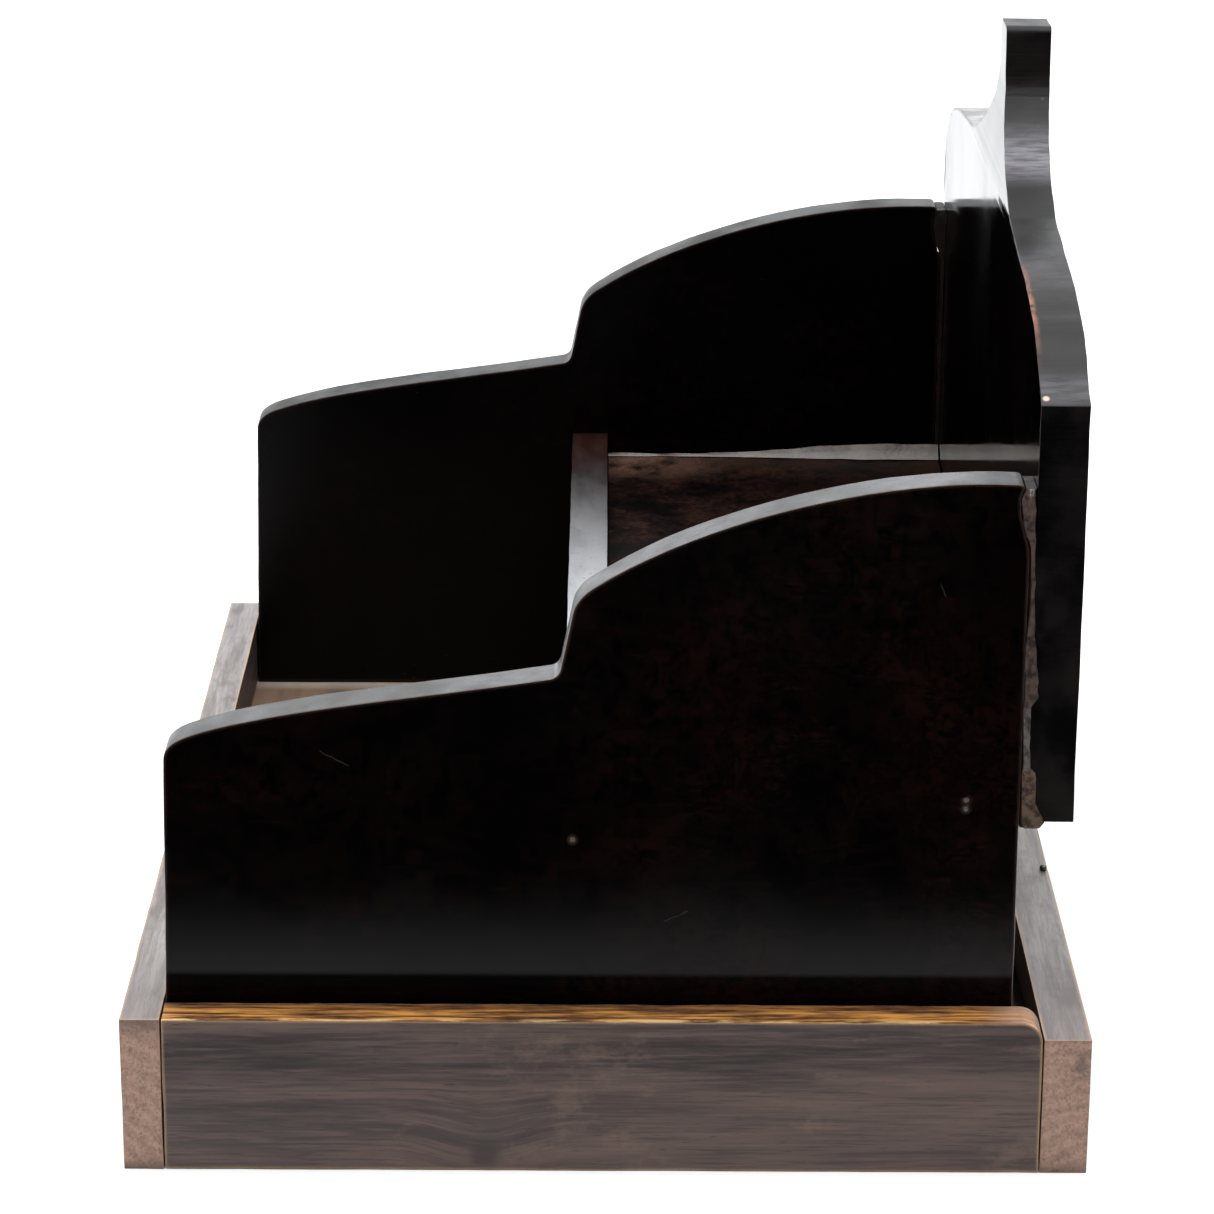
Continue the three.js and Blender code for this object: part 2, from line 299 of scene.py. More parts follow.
def use_group(tree, name, inputs):
    made = node(tree, "ShaderNodeGroup", node_tree=bpy.data.node_groups[name])
    for label, value in inputs.items():
        if isinstance(value, bpy.types.NodeSocket):
            tree.links.new(value, made.inputs[label])
        else:
            made.inputs[label].default_value = value
    return made.outputs


def make_edge_wear_group():
    """A mask of rubbed edges: 1 on an arris, broken up by noise, 0 on the flat."""
    tree, given, out = new_group(
        "Edge wear",
        [
            ("Vector", "NodeSocketVector", None),
            ("Radius", "NodeSocketFloat", 1.5 * MM),
            ("Patch scale", "NodeSocketFloat", 120.0),
            ("Amount", "NodeSocketFloat", 0.5),
        ],
        [("Mask", "NodeSocketFloat")],
    )
    rounded = node(tree, "ShaderNodeBevel", {"Radius": given["Radius"]}, samples=4)
    flat = node(tree, "ShaderNodeNewGeometry").outputs["Normal"]
    facing = vector_maths(tree, "DOT_PRODUCT", rounded.outputs[0], flat)
    edge = remap(tree, minus(tree, 1.0, facing), 0.002, 0.12)
    patch = clouds(tree, given["Vector"], given["Patch scale"], 5.0, 0.62)
    keep = minus(tree, 1.0, given["Amount"])
    broken = minus(tree, plus(tree, patch, times(tree, edge, 0.22)), keep)
    mask = times(tree, edge, remap(tree, broken, 0.0, 0.12))
    tree.links.new(mask, out.inputs["Mask"])


def make_grain_group():
    """Streaks of wood grain that run along the vector's long direction."""
    tree, given, out = new_group(
        "Wood grain",
        [
            ("Vector", "NodeSocketVector", None),
            ("Scale", "NodeSocketFloat", 90.0),
            ("Wander", "NodeSocketFloat", 0.6),
        ],
        [("Streaks", "NodeSocketFloat"), ("Pores", "NodeSocketFloat"), ("Bands", "NodeSocketFloat")],
    )
    broad = clouds(tree, given["Vector"], given["Scale"], 6.0, 0.6, given["Wander"])
    fine_scale = times(tree, given["Scale"], 5.0)
    fine = clouds(tree, given["Vector"], fine_scale, 4.0, 0.7)
    streaks = plus(tree, times(tree, broad, 0.65), times(tree, fine, 0.35))
    band_scale = times(tree, given["Scale"], 0.28)
    bands = clouds(tree, given["Vector"], band_scale, 3.0, 0.5, given["Wander"])
    pore_scale = times(tree, given["Scale"], 11.0)
    pores = remap(tree, clouds(tree, given["Vector"], pore_scale, 2.0), 0.62, 0.72)
    tree.links.new(streaks, out.inputs["Streaks"])
    tree.links.new(pores, out.inputs["Pores"])
    tree.links.new(bands, out.inputs["Bands"])


def make_speck_group():
    """Scattered small round specks, of dust or of tiny bubbles."""
    tree, given, out = new_group(
        "Specks",
        [
            ("Vector", "NodeSocketVector", None),
            ("Scale", "NodeSocketFloat", 600.0),
            ("Size", "NodeSocketFloat", 0.22),
            ("Share", "NodeSocketFloat", 0.15),
        ],
        [("Mask", "NodeSocketFloat")],
    )
    cells = node(tree, "ShaderNodeTexVoronoi", {"Vector": given["Vector"], "Scale": given["Scale"]})
    near = maths(tree, "LESS_THAN", cells.outputs["Distance"], given["Size"])
    pick = node(tree, "ShaderNodeSeparateColor", {"Color": cells.outputs["Color"]}).outputs[0]
    chosen = maths(tree, "LESS_THAN", pick, given["Share"])
    tree.links.new(times(tree, near, chosen), out.inputs["Mask"])


def make_scratch_group():
    """One short scratch: a thin line about Centre, along the mapped x direction."""
    tree, given, out = new_group(
        "Scratch",
        [
            ("Vector", "NodeSocketVector", None),
            ("Centre", "NodeSocketVector", None),
            ("Turn", "NodeSocketVector", None),
            ("Half length", "NodeSocketFloat", 5 * MM),
            ("Half width", "NodeSocketFloat", 0.2 * MM),
        ],
        [("Mask", "NodeSocketFloat")],
    )
    local = vector_maths(tree, "SUBTRACT", given["Vector"], given["Centre"])
    wander = clouds(tree, given["Vector"], 300.0, 2.0)
    inputs = {"Vector": local, "Rotation": given["Turn"]}
    turned = node(tree, "ShaderNodeVectorRotate", inputs, rotation_type="EULER_XYZ").outputs[0]
    _, y, z = axes(tree, turned)
    bow = times(tree, minus(tree, wander, 0.5), 1.5 * MM)
    across = maths(tree, "ABSOLUTE", plus(tree, z, bow))
    along = maths(tree, "ABSOLUTE", y)
    thin = maths(tree, "LESS_THAN", across, given["Half width"])
    short = maths(tree, "LESS_THAN", along, given["Half length"])
    tree.links.new(times(tree, thin, short), out.inputs["Mask"])


def make_ring_group():
    """A faint cup ring on a face that looks along X."""
    tree, given, out = new_group(
        "Cup ring",
        [
            ("Vector", "NodeSocketVector", None),
            ("Centre", "NodeSocketVector", None),
            ("Radius", "NodeSocketFloat", 26 * MM),
        ],
        [("Mask", "NodeSocketFloat")],
    )
    local = vector_maths(tree, "SUBTRACT", given["Vector"], given["Centre"])
    flat = vector_maths(tree, "MULTIPLY", local, (0, 1, 1))
    off = minus(tree, vector_maths(tree, "LENGTH", flat), given["Radius"])
    line = remap(tree, maths(tree, "ABSOLUTE", off), 0.2 * MM, 0.9 * MM, 1.0, 0.0)
    patch = remap(tree, clouds(tree, given["Vector"], 55.0, 3.0), 0.42, 0.6)
    tree.links.new(times(tree, line, patch), out.inputs["Mask"])


def edge_wear(tree, vector, radius, patch_scale, amount):
    inputs = {"Vector": vector, "Radius": radius, "Patch scale": patch_scale, "Amount": amount}
    return use_group(tree, "Edge wear", inputs)["Mask"]


def wood_grain(tree, vector, scale, wander):
    inputs = {"Vector": vector, "Scale": scale, "Wander": wander}
    return use_group(tree, "Wood grain", inputs)


def specks(tree, vector, scale, size, share):
    inputs = {"Vector": vector, "Scale": scale, "Size": size, "Share": share}
    return use_group(tree, "Specks", inputs)["Mask"]


def make_groups():
    make_edge_wear_group()
    make_grain_group()
    make_speck_group()
    make_scratch_group()
    make_ring_group()


# ---------------------------------------------------------------- materials


def new_material(name, shine=0.5):
    """A material with its tree, its shader at that specular level, and object coordinates."""
    material = bpy.data.materials.new(name)
    material.use_nodes = True
    tree = material.node_tree
    shader = tree.nodes["Principled BSDF"]
    shader.inputs["Specular IOR Level"].default_value = shine
    place = node(tree, "ShaderNodeTexCoord").outputs["Object"]
    return material, tree, shader, place


def link(tree, shader, **sockets):
    """Joins outputs to the shader's inputs; an underscore in a name stands for a space."""
    for name, value in sockets.items():
        tree.links.new(value, shader.inputs[name.replace("_", " ")])


def bump(tree, height, distance, strength=1.0):
    inputs = {"Height": height, "Distance": distance, "Strength": strength}
    return node(tree, "ShaderNodeBump", inputs).outputs[0]


def lacquer_face(name, grain, gloss, redness, marks=None, shine=0.5):
    """Gloss lacquer on a board's broad face, over red-brown stain."""
    _, paint, _ = settings()
    material, tree, shader, place = new_material(name, shine)
    along = stretched(tree, place, grain)
    streaks = wood_grain(tree, along, 70.0, 0.9)
    cloud = clouds(tree, place, 22.0, 5.0, 0.6, 0.4)
    fine = clouds(tree, place, 260.0, 3.0, 0.7)
    mottle = times(tree, remap(tree, cloud, 0.38, 0.72), remap(tree, fine, 0.35, 0.68))
    mottle = plus(tree, mottle, times(tree, streaks["Pores"], 0.5))
    mottle = times(tree, mottle, redness)
    base = blend_colours(tree, mottle, paint.lacquer, paint.mottle)
    dust = specks(tree, place, 420.0, 0.2, 0.05)
    base = tint(tree, base, TINTS["lacquer dust"], dust, 0.5)
    wear = edge_wear(tree, place, 1.6 * MM, 160.0, 0.5)
    rubbed = times(tree, wear, 0.16)
    base = blend_colours(tree, rubbed, base, paint.bare)
    smudge = remap(tree, clouds(tree, place, 14.0, 4.0, 0.6), 0.35, 0.7, gloss, gloss + 0.1)
    rough = plus(tree, smudge, times(tree, wear, 0.3))
    rough = plus(tree, rough, times(tree, dust, 0.06))
    waves = times(tree, clouds(tree, place, 90.0, 2.0), 0.6)
    height = plus(tree, waves, times(tree, streaks["Streaks"], 0.3))
    if marks:
        base, rough, own_shine = marks(tree, place, base, rough)
        link(tree, shader, Specular_IOR_Level=own_shine)
    link(tree, shader, Base_Color=base, Roughness=rough, Normal=bump(tree, height, 0.05 * MM, 0.5))
    return material


def panel_marks(tree, place, base, rough):
    """Cup rings, scratches, a red area and a dull foot on the right panel's outer face."""
    face_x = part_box("right_side_panel")[1].x
    _, y, z = axes(tree, place)
    red_zone = times(tree, remap(tree, y, -20 * MM, 40 * MM), remap(tree, z, 190 * MM, 110 * MM))
    blotch = remap(tree, clouds(tree, place, 40.0, 6.0, 0.7), 0.4, 0.66)
    speckle = remap(tree, clouds(tree, stretched(tree, place, (1, 0.5, 1)), 620.0, 3.0, 0.7), 0.42, 0.62)
    red = times(tree, times(tree, red_zone, blotch), speckle)
    base = blend_colours(tree, red, base, TINTS["red under lacquer"])
    shine = remap(tree, z, 52.5 * MM, 54.5 * MM, 0.04, 0.5)
    for ring_y, ring_z in CUP_RINGS:
        inputs = {"Vector": place, "Centre": (face_x, ring_y * MM, ring_z * MM)}
        ring = use_group(tree, "Cup ring", inputs)["Mask"]
        base = tint(tree, base, TINTS["black"], ring, 0.5)
        rough = plus(tree, rough, times(tree, ring, 0.03))
    for mark_y, mark_z, turn, half in SCRATCHES:
        inputs = {
            "Vector": place, "Centre": (face_x, mark_y * MM, mark_z * MM), "Turn": (turn, 0, 0),
            "Half length": half * MM, "Half width": 0.13 * MM,
        }
        scratch = use_group(tree, "Scratch", inputs)["Mask"]
        base = tint(tree, base, TINTS["scratch"], scratch, 0.3)
    return base, rough, shine


def lacquer_edge(name, rough_low, wear_amount, painted_sheen=0.0, shine=0.5):
    """Satin lacquer on sawn and filed edges, scuffed through in places, with a painted sheen where one is
    asked for.
    """
    _, paint, _ = settings()
    material, tree, shader, place = new_material(name, shine)
    saw = clouds(tree, stretched(tree, place, (0.6, 0.6, 5.0)), 220.0, 4.0, 0.6)
    scuff = remap(tree, clouds(tree, place, 60.0, 5.0, 0.65), 0.45, 0.75)
    base = blend_colours(tree, times(tree, scuff, 0.4), paint.lacquer, TINTS["scuffed lacquer"])
    # Painted sheen: pale, fibrous patches stand in for light reflected on the edges.
    if painted_sheen:
        patches = remap(tree, clouds(tree, place, 28.0, 4.0, 0.6), 0.4, 0.62)
        fibre = clouds(tree, stretched(tree, place, (0.5, 0.15, 0.5)), 900.0, 3.0, 0.7)
        sheen_patches = times(tree, patches, remap(tree, fibre, 0.35, 0.65, 0.5, 1.0))
        base = tint(tree, base, TINTS["edge painted sheen"], sheen_patches, painted_sheen)
    wear = edge_wear(tree, place, 1.8 * MM, 140.0, wear_amount)
    base = tint(tree, base, paint.bare, wear, 0.3)
    dust = specks(tree, place, 500.0, 0.25, 0.1)
    base = tint(tree, base, TINTS["edge dust"], dust, 0.4)
    rough = remap(tree, clouds(tree, place, 45.0, 4.0, 0.6), 0.35, 0.7, rough_low, rough_low + 0.2)
    rough = plus(tree, rough, times(tree, wear, 0.2))
    link(tree, shader, Base_Color=base, Roughness=rough, Normal=bump(tree, saw, 0.12 * MM, 0.6))
    return material


def board_edge_finish():
    """The back board's edge: dark, with painted highlights in the hollow, on the sweep and at the shoulder,
    its front arris worn orange.
    """
    _, paint, _ = settings()
    material, tree, shader, place = new_material("lacquer, back board edge", 0.2)
    x, y, z = axes(tree, place)
    file_marks = clouds(tree, stretched(tree, place, (1.0, 0.3, 4.0)), 300.0, 4.0, 0.65)
    cloud = clouds(tree, place, 42.0, 5.0, 0.6)
    base = blend_colours(tree, remap(tree, cloud, 0.4, 0.7), paint.lacquer, TINTS["brown lacquer"])
    # Painted highlights: pale patches in the hollow, on the sweep and at the shoulder stand in for the
    # overhead light caught by the curved edge.
    in_hollow = hump(tree, x, 31 * MM, 16 * MM)
    on_sweep = hump(tree, x, 101 * MM, 22 * MM)
    at_shoulder = hump(tree, x, 159 * MM, 7 * MM)
    painted_sheen = maths(tree, "MAXIMUM", in_hollow, times(tree, on_sweep, 0.2))
    painted_sheen = maths(tree, "MAXIMUM", painted_sheen, times(tree, at_shoulder, 0.4))
    above = remap(tree, z, 215.5 * MM, 216.5 * MM)
    painted_sheen = times(tree, times(tree, painted_sheen, above), remap(tree, file_marks, 0.3, 0.62, 0.35, 1.0))
    base = tint(tree, base, TINTS["board painted highlight"], painted_sheen, 0.5)
    front = remap(tree, y, 114.9 * MM, 113.2 * MM)
    worn = times(tree, front, hump(tree, x, 123 * MM, 34 * MM))
    worn = times(tree, worn, above)
    worn = times(tree, worn, remap(tree, clouds(tree, place, 260.0, 4.0, 0.7), 0.36, 0.55))
    base = blend_colours(tree, worn, base, TINTS["orange arris"])
    chip = vector_maths(tree, "SUBTRACT", place, (161.5 * MM, 114.5 * MM, 217.5 * MM))
    chipped = remap(tree, vector_maths(tree, "LENGTH", chip), 0.5 * MM, 1.2 * MM, 1.0, 0.0)
    base = blend_colours(tree, chipped, base, TINTS["fresh chip"])
    dust = specks(tree, place, 420.0, 0.2, 0.06)
    base = tint(tree, base, TINTS["board dust"], dust, 0.4)
    rough = remap(tree, cloud, 0.35, 0.7, 0.3, 0.5)
    link(tree, shader, Base_Color=base, Roughness=rough, Normal=bump(tree, file_marks, 0.15 * MM, 0.7))
    return material


def divider_top_finish():
    """The divider's worn top: dark red at its left end, with a painted highlight in pale grey growing
    towards its right end.
    """
    material, tree, shader, place = new_material("divider top", 0.25)
    x, _, _ = axes(tree, place)
    cloud = clouds(tree, stretched(tree, place, (0.35, 1, 1)), 130.0, 5.0, 0.6, 0.3)
    red = remap(tree, x, -90 * MM, -135 * MM)
    base = blend_colours(tree, red, TINTS["divider black"], TINTS["divider red"])
    # Painted highlight: pale grey growing towards the right end stands in for light reflected on the top.
    painted_sheen = times(tree, remap(tree, x, -110 * MM, 110 * MM), remap(tree, cloud, 0.25, 0.6, 0.6, 1.0))
    base = tint(tree, base, TINTS["divider painted highlight"], painted_sheen, 0.62)
    dust = specks(tree, place, 700.0, 0.3, 0.12)
    base = tint(tree, base, TINTS["divider dust"], dust, 0.5)
    rough = remap(tree, cloud, 0.3, 0.7, 0.3, 0.5)
    link(tree, shader, Base_Color=base, Roughness=rough, Normal=bump(tree, cloud, 0.1 * MM, 0.5))
    return material


def shelf_top_finish():
    """The shelf's upper face: dull, mottled, with dried glue smears."""
    material, tree, shader, place = new_material("shelf top", 0.04)
    cloud = clouds(tree, place, 62.0, 6.0, 0.7)
    fine = clouds(tree, place, 520.0, 4.0, 0.7)
    mottle = times(tree, remap(tree, cloud, 0.36, 0.66), remap(tree, fine, 0.3, 0.7))
    base = blend_colours(tree, mottle, TINTS["shelf black"], TINTS["shelf red"])
    smear = remap(tree, clouds(tree, place, 70.0, 4.0, 0.6), 0.62, 0.72)
    x, y, _ = axes(tree, place)
    near_panel = remap(tree, x, -151 * MM, -118 * MM, 1.0, 0.0)
    near_front = remap(tree, y, 5 * MM, 50 * MM, 1.0, 0.12)
    along_panel = times(tree, times(tree, near_panel, near_front), remap(tree, cloud, 0.3, 0.6))
    smear = maths(tree, "MAXIMUM", times(tree, smear, 0.12), along_panel)
    base = blend_colours(tree, smear, base, TINTS["glue smear"])
    rough = remap(tree, cloud, 0.3, 0.7, 0.38, 0.6)
    height = plus(tree, fine, smear)
    link(tree, shader, Base_Color=base, Roughness=rough, Normal=bump(tree, height, 0.15 * MM, 0.7))
    return material


def walnut(name, grain, knot=None):
    """Stained walnut on the rails' faces: fine streaks, dark stains and rubbed patches."""
    _, paint, _ = settings()
    material, tree, shader, place = new_material(name)
    vector = place
    if knot:
        around = vector_maths(tree, "SUBTRACT", place, knot)
        near = remap(tree, vector_maths(tree, "LENGTH", around), 0.0, 26 * MM, 1.0, 0.0)
        push = node(tree, "ShaderNodeCombineXYZ", {2: times(tree, near, 5 * MM)}).outputs[0]
        vector = vector_maths(tree, "ADD", place, push)
    along = stretched(tree, vector, grain)
    wood = wood_grain(tree, along, 230.0, 0.3)
    dark = remap(tree, wood["Streaks"], 0.4, 0.6, 1.0, 0.0)
    base = blend_colours(tree, dark, paint.walnut, paint.walnut_dark)
    bands = remap(tree, wood["Bands"], 0.42, 0.66)
    base = tint(tree, base, TINTS["walnut band"], bands, 0.4)
    stains = remap(tree, clouds(tree, stretched(tree, place, (1, 0.45, 1)), 32.0, 5.0, 0.65), 0.5, 0.68)
    base = tint(tree, base, TINTS["walnut stain"], stains, 0.5)
    lines = clouds(tree, stretched(tree, vector, (1, 0.03, 1)), 1300.0, 3.0, 0.6)
    base = blend_colours(tree, remap(tree, lines, 0.5, 0.7, 0.0, 0.6), base, TINTS["walnut line"])
    base = blend_colours(tree, remap(tree, lines, 0.46, 0.3, 0.0, 0.35), base, TINTS["pale line"])
    rubbed = remap(tree, clouds(tree, stretched(tree, place, (1, 0.6, 1)), 48.0, 5.0, 0.7), 0.58, 0.7)
    base = tint(tree, base, TINTS["rubbed walnut"], rubbed, 0.3)
    if knot:
        eye = remap(tree, vector_maths(tree, "LENGTH", around), 1.5 * MM, 6 * MM, 0.75, 0.0)
        base = blend_colours(tree, eye, base, TINTS["knot"])
    base = tint(tree, base, TINTS["walnut pore"], wood["Pores"], 0.6)
    base = worn_arrises(tree, place, base)
    rough = remap(tree, wood["Streaks"], 0.3, 0.7, 0.44, 0.62)
    height = minus(tree, wood["Streaks"], times(tree, wood["Pores"], 0.6))
    link(tree, shader, Base_Color=base, Roughness=rough, Normal=bump(tree, height, 0.14 * MM, 0.7))
    return material


def worn_arrises(tree, place, base):
    """Pale gold where a rail's edge is rubbed, in broken stretches."""
    wear = edge_wear(tree, place, 1.4 * MM, 90.0, 0.6)
    return blend_colours(tree, times(tree, wear, 0.75), base, TINTS["gold arris"])


def long_rail_top():
    """The front and back rails' tops: brown grain and dark blotches, under a painted reflection in grey
    that follows the grain and fades towards the right end.
    """
    material, tree, shader, place = new_material("walnut, long rail tops")
    along = stretched(tree, place, (0.07, 1, 1))
    wood = wood_grain(tree, along, 260.0, 0.5)
    # Painted reflection: grey along the grain stands in for the sky reflected in the satin tops.
    reflection_share = remap(tree, wood["Streaks"], 0.36, 0.62)
    base = blend_colours(tree, reflection_share, TINTS["rail top brown"], TINTS["rail top painted reflection"])
    blotch = remap(tree, clouds(tree, stretched(tree, place, (0.5, 1, 1)), 55.0, 6.0, 0.7), 0.46, 0.66)
    base = tint(tree, base, TINTS["rail top blotch"], blotch, 0.75)
    x, _, _ = axes(tree, place)
    # Darker towards the right end, where the painted reflection fades.
    base = tint(tree, base, TINTS["rail top end"], remap(tree, x, 110 * MM, 172 * MM), 0.5)
    base = tint(tree, base, TINTS["rail top pore"], wood["Pores"], 0.5)
    base = worn_arrises(tree, place, base)
    rough = remap(tree, wood["Streaks"], 0.3, 0.7, 0.3, 0.55)
    link(tree, shader, Base_Color=base, Roughness=rough, Normal=bump(tree, wood["Streaks"], 0.15 * MM, 0.8))
    return material


def side_rail_top():
    """The side rails' tops: dark brown, worn to golden streaks along the outer half."""
    _, paint, _ = settings()
    material, tree, shader, place = new_material("walnut, side rail tops", 0.2)
    x, y, _ = axes(tree, place)
    long_streaks = clouds(tree, stretched(tree, place, (1.0, 0.05, 1.0)), 620.0, 4.0, 0.6, 0.3)
    broken = clouds(tree, stretched(tree, place, (1.0, 0.22, 1.0)), 200.0, 5.0, 0.65)
    fine = clouds(tree, stretched(tree, place, (1.0, 0.12, 1.0)), 1700.0, 3.0, 0.7)
    outward = maths(tree, "ABSOLUTE", x)
    rubbed = remap(tree, outward, 164.5 * MM, 172.5 * MM, 0.25, 1.0)
    gold = times(tree, remap(tree, long_streaks, 0.4, 0.6), remap(tree, broken, 0.36, 0.58, 0.25, 1.0))
    brown = remap(tree, fine, 0.4, 0.62)
    base = blend_colours(tree, brown, TINTS["side top dark"], TINTS["side top brown"])
    base = blend_colours(tree, times(tree, gold, rubbed), base, paint.honey)
    arris = remap(tree, outward, 173.8 * MM, 175.2 * MM)
    bright = times(tree, arris, remap(tree, broken, 0.46, 0.58))
    base = tint(tree, base, TINTS["bright gold"], bright, 0.8)
    # The rear ends are paler: partly their own colour, partly painted light where the panel's shadow does
    # not reach.
    pale_lit_ends = remap(tree, y, 100 * MM, 112 * MM)
    base = tint(tree, base, TINTS["side top pale lit end"], pale_lit_ends, 0.6)
    rough = remap(tree, fine, 0.3, 0.7, 0.5, 0.7)
    link(tree, shader, Base_Color=base, Roughness=rough, Normal=bump(tree, long_streaks, 0.15 * MM, 0.8))
    return material


def end_grain(name, centre):
    """Sawn end grain: blotchy, with faint growth rings about a centre off the board."""
    _, paint, _ = settings()
    material, tree, shader, place = new_material(name)
    local = vector_maths(tree, "SUBTRACT", place, centre)
    flat = vector_maths(tree, "MULTIPLY", local, (0, 1, 1))
    wobble = times(tree, clouds(tree, place, 45.0, 4.0, 0.6), 9 * MM)
    radius = plus(tree, vector_maths(tree, "LENGTH", flat), wobble)
    rings = maths(tree, "SINE", times(tree, radius, 1500.0))
    fibre = clouds(tree, place, 1100.0, 4.0, 0.75)
    stain = clouds(tree, place, 75.0, 6.0, 0.7)
    ringed = remap(tree, rings, -1.0, 1.0, 0.0, 0.3)
    base = blend_colours(tree, ringed, paint.end_grain, TINTS["growth ring"])
    base = blend_colours(tree, remap(tree, fibre, 0.4, 0.7, 0.0, 0.75), base, TINTS["end fibre"])
    base = blend_colours(tree, remap(tree, stain, 0.52, 0.72, 0.0, 0.6), base, TINTS["end stain"])
    _, _, z = axes(tree, place)
    # Darker towards the top and bottom edges.
    edge_darkening = maths(tree, "MAXIMUM", remap(tree, z, 38 * MM, 45 * MM), remap(tree, z, 4 * MM, 0.0))
    base = tint(tree, base, TINTS["end edge darkening"], edge_darkening, 0.6)
    height = plus(tree, fibre, times(tree, rings, 0.2))
    shader.inputs["Roughness"].default_value = 0.7
    link(tree, shader, Base_Color=base, Normal=bump(tree, height, 0.2 * MM, 0.8))
    return material


def floor_finish():
    """The tray's floor board: light brown, with a whitish streak by the rack's feet."""
    _, paint, _ = settings()
    material, tree, shader, place = new_material("tray floor")
    wood = wood_grain(tree, stretched(tree, place, (0.06, 1, 1)), 110.0, 0.5)
    light = remap(tree, wood["Streaks"], 0.35, 0.65)
    base = blend_colours(tree, light, TINTS["floor brown"], paint.floor_wood)
    dust = remap(tree, clouds(tree, place, 30.0, 4.0, 0.6), 0.45, 0.7)
    base = tint(tree, base, TINTS["floor dust"], dust, 0.3)
    x, _, _ = axes(tree, place)
    foot = remap(tree, maths(tree, "ABSOLUTE", x), 143 * MM, 150.5 * MM)
    base = tint(tree, base, TINTS["foot streak"], foot, 0.45)
    rough = remap(tree, wood["Streaks"], 0.3, 0.7, 0.4, 0.62)
    link(tree, shader, Base_Color=base, Roughness=rough, Normal=bump(tree, wood["Streaks"], 0.12 * MM, 0.6))
    return material


def lumpy(name, tone, dark, rough, scale):
    """Dried glue or filler: mottled, with small pits."""
    material, tree, shader, place = new_material(name)
    cloud = clouds(tree, place, scale, 5.0, 0.6)
    base = blend_colours(tree, remap(tree, cloud, 0.35, 0.68), dark, tone)
    pits = specks(tree, place, 1400.0, 0.3, 0.3)
    base = tint(tree, base, dark, pits, 0.6)
    height = minus(tree, cloud, times(tree, pits, 0.5))
    finish = remap(tree, cloud, 0.3, 0.7, rough, rough + 0.2)
    link(tree, shader, Base_Color=base, Roughness=finish, Normal=bump(tree, height, 0.2 * MM, 0.8))
    return material


def seam_glue_finish():
    """Seam glue: brown at the top, grey lower down and tan where it ran out at the bottom, with painted
    shade where it lies sunk below the panel's face.
    """
    _, paint, _ = settings()
    material, tree, shader, place = new_material("seam glue", 0.2)
    x, y, z = axes(tree, place)
    cloud = clouds(tree, place, 420.0, 5.0, 0.65)
    grains = clouds(tree, place, 1500.0, 3.0, 0.7)
    base = blend_colours(tree, remap(tree, z, 128 * MM, 134 * MM), TINTS["grey glue"], paint.glue)
    base = blend_colours(tree, remap(tree, z, 116 * MM, 112 * MM), base, TINTS["tan glue"])
    tip = times(tree, remap(tree, z, 190.5 * MM, 192 * MM), remap(tree, grains, 0.42, 0.6))
    tip = times(tree, tip, hump(tree, y, 111.5 * MM, 1.2 * MM))
    base = blend_colours(tree, tip, base, TINTS["glue tip"])
    dark = times(tree, remap(tree, cloud, 0.6, 0.35), 0.8)
    base = blend_colours(tree, dark, base, TINTS["glue shadow"])
    base = blend_colours(tree, remap(tree, grains, 0.5, 0.75, 0.0, 0.6), base, TINTS["glue grain"])
    # Painted shade: the glue sunk below the panel's face is darkened where it sits in the recess.
    sunk_shade = remap(tree, maths(tree, "ABSOLUTE", x), 163.72 * MM, 163.48 * MM)
    base = tint(tree, base, TINTS["glue recess shade"], sunk_shade, 0.9)
    height = plus(tree, cloud, times(tree, grains, 0.6))
    rough = remap(tree, cloud, 0.3, 0.7, 0.4, 0.65)
    link(tree, shader, Base_Color=base, Roughness=rough, Normal=bump(tree, height, 0.25 * MM, 0.8))
    return material


def steel_finish():
    """Darkened steel with a little rust."""
    _, paint, _ = settings()
    material, tree, shader, place = new_material("brad steel")
    rust = remap(tree, clouds(tree, place, 1500.0, 4.0, 0.6), 0.45, 0.65)
    base = blend_colours(tree, rust, paint.steel, TINTS["rust"])
    bright = minus(tree, 0.9, times(tree, rust, 0.6))
    rough = remap(tree, rust, 0.0, 1.0, 0.35, 0.7)
    link(tree, shader, Base_Color=base, Metallic=bright, Roughness=rough)
    return material


def stage_finish():
    """Matt, almost even off-white."""
    material, tree, shader, place = new_material("studio floor", 0.0)
    shade = remap(tree, clouds(tree, place, 0.8, 2.0), 0.3, 0.7, 0.9, 0.92)
    tone = node(tree, "ShaderNodeCombineColor", {0: shade, 1: shade, 2: shade}).outputs[0]
    shader.inputs["Roughness"].default_value = 0.9
    link(tree, shader, Base_Color=tone)
    return material


# ---------------------------------------------------------------- mesh work


def piece_from(mesh, name, body, node_names, materials):
    """Turns a bmesh into a finished piece that stands for those CAD nodes."""
    for face in mesh.faces:
        face.smooth = True
    data = bpy.data.meshes.new(name)
    mesh.to_mesh(data)
    mesh.free()
    for material in materials:
        data.materials.append(material)
    data.set_sharp_from_angle(angle=SHARP_SHADING)
    piece = bpy.data.objects.new(name, data)
    bpy.context.scene.collection.objects.link(piece)
    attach(piece, body)
    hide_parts(*node_names)
    return piece


def weigh_normals(piece):
    """Keeps flat faces flat beside their eased edges."""
    modifier = piece.modifiers.new("Flat faces", "WEIGHTED_NORMAL")
    modifier.keep_sharp = True


